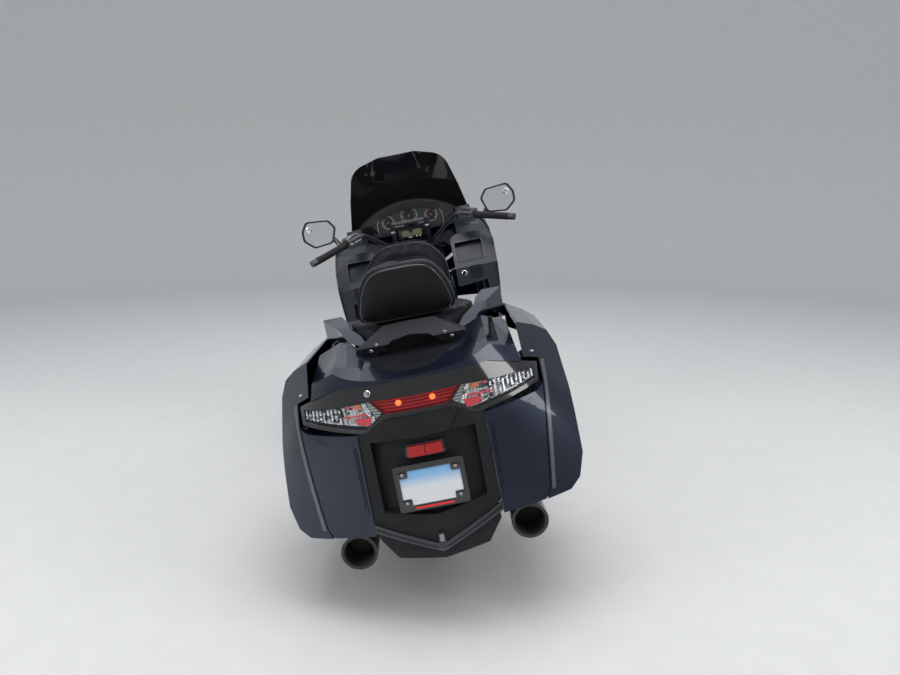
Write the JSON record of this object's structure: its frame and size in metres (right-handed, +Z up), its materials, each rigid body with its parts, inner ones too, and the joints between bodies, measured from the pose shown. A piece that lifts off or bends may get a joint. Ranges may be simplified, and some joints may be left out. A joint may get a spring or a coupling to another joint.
{
  "type": "touring motorcycle",
  "caption": "Touring motorcycle leaning on its side stand, with fairing, tall tinted screen, stepped seat with backrests and hinged saddlebags; it rolls and steers.",
  "frame": {"origin": "on the floor, under the middle of the machine's box, as it stands leaning on its side stand", "axes": "+Y forward along the machine, +X to the rider's right, +Z up"},
  "size_m": [1.1929, 2.6268, 1.5224],
  "materials": {
    "frame_black": "satin",
    "engine_alloy": "cast",
    "cover_alloy": "satin",
    "black_plastic": "matte",
    "exhaust_steel": "heat-tinted",
    "exhaust_black": "satin",
    "wheel_alloy": "satin",
    "tyre": "matte",
    "disc_steel": "brushed",
    "navy_paint": "metallic gloss",
    "dark_trim": "satin",
    "gloss_black": "gloss",
    "smoke_glass": "tinted",
    "mirror_shell": "gloss",
    "mirror_glass": "mirror",
    "footrest_alloy": "satin",
    "seat_vinyl": "satin vinyl",
    "backrest_shell": "satin",
    "satin_black": "satin",
    "lamp_clear": "clear",
    "lamp_red": "clear red",
    "matte_black": "grained",
    "dark_chrome": "dark chrome",
    "plate_white": "reflective",
    "reflector_red": "prismatic",
    "stand_steel": "satin",
    "fork_black": "satin",
    "bar_black": "satin",
    "grip_rubber": "matte",
    "switch_black": "matte",
    "caliper_black": "painted"
  },
  "bodies": {
    "chassis": {"main_frame": "frame_black", "engine": "engine_alloy", "head_covers": "cover_alloy", "belly_pan": "black_plastic", "exhaust_pipes": "exhaust_steel", "mufflers": "exhaust_black", "swingarm": "frame_black", "rear_fender": "black_plastic", "upper_fairing": "navy_paint", "side_fairings": "navy_paint", "headlamps": "lamp_clear", "inner_fairing": "dark_trim", "dash_hood": "black_plastic", "instrument_panel": "gloss_black", "windscreen": "smoke_glass", "mirrors": "mirror_shell", "mirror_glasses": "mirror_glass", "tank_cover": "navy_paint", "side_covers": "navy_paint", "footrests": "footrest_alloy", "seat": "seat_vinyl", "rider_backrest": "seat_vinyl", "passenger_backrest": "backrest_shell", "backrest_carrier": "satin_black", "grab_rails": "navy_paint", "rear_cowl": "navy_paint", "tail_panel": "gloss_black", "brake_lamp": "lamp_red", "corner_lamps": "lamp_clear", "rear_valance": "matte_black", "bumper_trim": "dark_chrome", "plate_frame": "gloss_black", "number_plate": "plate_white", "reflectors": "reflector_red", "antenna": "matte_black", "saddlebags": "navy_paint"},
    "steering": {"fork": "fork_black", "handlebar": "bar_black", "grips": "grip_rubber", "hand_controls": "switch_black", "front_fender": "navy_paint", "front_calipers": "caliper_black"},
    "front_wheel": {"front_wheel": "wheel_alloy", "front_tyre": "tyre", "front_discs": "disc_steel"},
    "rear_wheel": {"rear_wheel": "wheel_alloy", "rear_tyre": "tyre", "rear_disc": "disc_steel"},
    "lid_right": {"saddlebag_lid_right": "navy_paint", "side_marker_right": "reflector_red"},
    "lid_left": {"saddlebag_lid_left": "navy_paint", "side_marker_left": "reflector_red"},
    "side_stand": {"side_stand": "stand_steel"}
  },
  "joints": [
    {"name": "steering", "type": "hinge", "parent": "chassis", "child": "steering", "pos_m": [0.14567, 0.93964, 0.28497], "axis": [-0.168, -0.4878, 0.8567], "range_deg": [-37, 29]},
    {"name": "front_wheel_spin", "type": "hinge", "parent": "steering", "child": "front_wheel", "pos_m": [0.13573, 0.99299, 0.31339], "axis": [0.9723, 0.0611, 0.2254], "continuous": true},
    {"name": "rear_wheel_spin", "type": "hinge", "parent": "chassis", "child": "rear_wheel", "pos_m": [0.14164, -0.69689, 0.30711], "axis": [0.9813, 0.0002, 0.1925], "continuous": true},
    {"name": "lid_right_hinge", "type": "hinge", "parent": "chassis", "child": "lid_right", "pos_m": [0.4747, -0.69682, 0.37551], "axis": [0, 1, -0.001], "range_deg": [0, 50]},
    {"name": "lid_left_hinge", "type": "hinge", "parent": "chassis", "child": "lid_left", "pos_m": [-0.19257, -0.69695, 0.2446], "axis": [0, -1, 0.001], "range_deg": [0, 50]},
    {"name": "side_stand_hinge", "type": "hinge", "parent": "chassis", "child": "side_stand", "pos_m": [-0.03895, -0.05699, 0.20889], "axis": [-0.8905, 0.1649, 0.424], "range_deg": [0, 71.7]}
  ]
}
